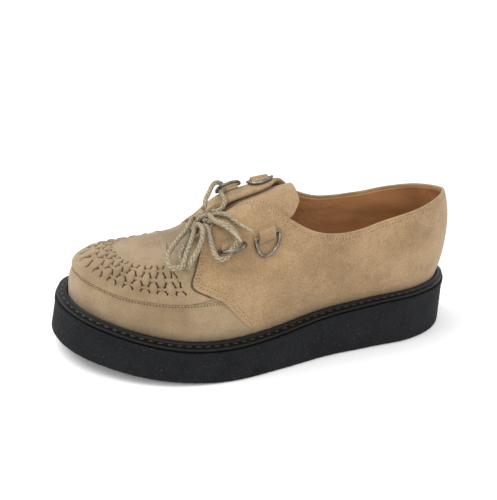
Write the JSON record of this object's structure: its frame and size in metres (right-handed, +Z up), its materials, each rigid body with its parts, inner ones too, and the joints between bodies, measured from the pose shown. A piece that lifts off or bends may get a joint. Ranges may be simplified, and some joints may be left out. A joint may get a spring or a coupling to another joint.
{
  "type": "suede derby shoe with interlaced apron and wedge sole, left",
  "caption": "Low suede shoe with an interlaced apron over a broad toe, lace rings on both facings, a ribbed welt and a thick wedge sole.",
  "frame": {"origin": "on the floor, under the middle of the sole's length and over the line from the heel's centre", "axes": "+Z up, -Y towards the toe, +Y towards the heel, +X towards the outer side of the left foot"},
  "size_m": [0.1258, 0.3044, 0.118],
  "materials": {
    "black_crepe_rubber": "grainy matt crepe",
    "black_welt": "smooth satin",
    "tan_insole_leather": "smooth lining leather",
    "sand_suede": "napped suede",
    "tongue_suede": "napped suede",
    "nickel_wire": "polished nickel plate, lightly worn",
    "braided_cotton_lace": "round braided cord"
  },
  "bodies": {
    "root": {"outsole": "black_crepe_rubber", "welt": "black_welt", "insole": "tan_insole_leather", "upper": "sand_suede", "tongue": "tongue_suede", "apron": "sand_suede", "lace_keeper_outer_front": "sand_suede", "lace_keeper_outer_rear": "sand_suede", "lace_keeper_inner_front": "sand_suede", "lace_keeper_inner_rear": "sand_suede", "d_ring_outer_front": "nickel_wire", "d_ring_outer_rear": "nickel_wire", "d_ring_inner_front": "nickel_wire", "d_ring_inner_rear": "nickel_wire", "lace_bridle_outer": "braided_cotton_lace", "lace_bridle_inner": "braided_cotton_lace", "lace_knot": "braided_cotton_lace", "lace_loop_front": "braided_cotton_lace", "lace_loop_rear": "braided_cotton_lace", "lace_end_long": "braided_cotton_lace", "lace_end_short": "braided_cotton_lace"}
  },
  "joints": []
}
